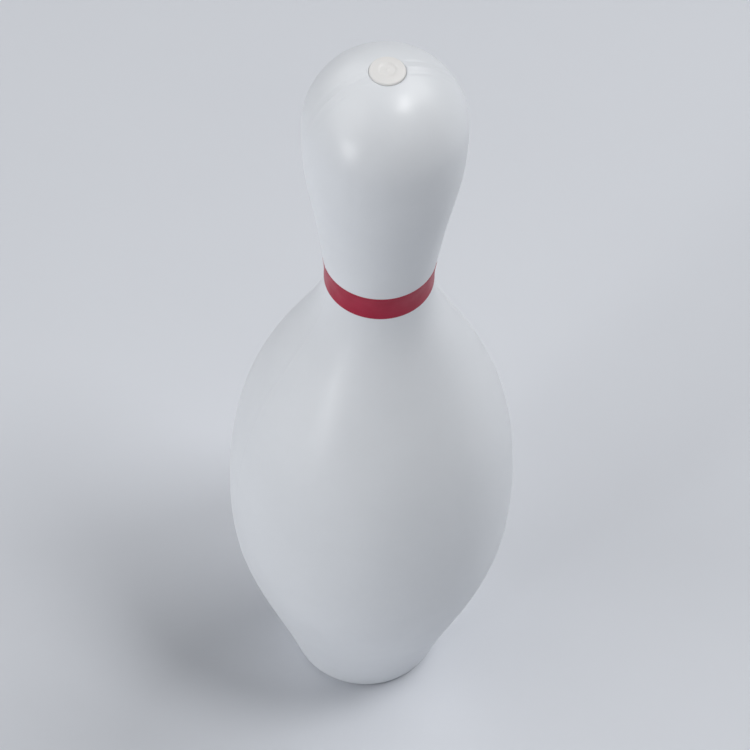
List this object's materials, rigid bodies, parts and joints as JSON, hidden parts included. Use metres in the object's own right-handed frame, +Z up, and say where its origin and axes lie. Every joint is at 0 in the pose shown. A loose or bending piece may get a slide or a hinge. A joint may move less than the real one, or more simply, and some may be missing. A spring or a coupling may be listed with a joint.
{
  "type": "bowling pin",
  "caption": "Hollow white plastic bowling pin with a single red neck band and a small push-in plug in the crown, standing on a flat foot ring.",
  "frame": {"origin": "Middle of the foot, on the surface that the pin stands on.", "axes": "Z up along the pin's axis of symmetry, from the foot to the crown. X lies in the plane of the mould's parting line. Y is square to it, with the front at -Y."},
  "size_m": [0.12, 0.12, 0.381],
  "materials": {
    "shell_plastic": "satin, cool white blow-moulded polyethylene",
    "plug_plastic": "satin, warmer white moulded polyethylene",
    "band_vinyl": "semi-gloss crimson vinyl strip",
    "ballast_fill": "matt, set sand and plaster"
  },
  "bodies": {
    "pin": {"pin_shell": "shell_plastic", "neck_band": "band_vinyl", "ballast": "ballast_fill"},
    "plug": {"crown_plug": "plug_plastic"}
  },
  "joints": [
    {"name": "plug_pull", "type": "slide", "parent": "pin", "child": "plug", "axis": [0, 0, 1], "range_m": [0, 0.025]}
  ]
}
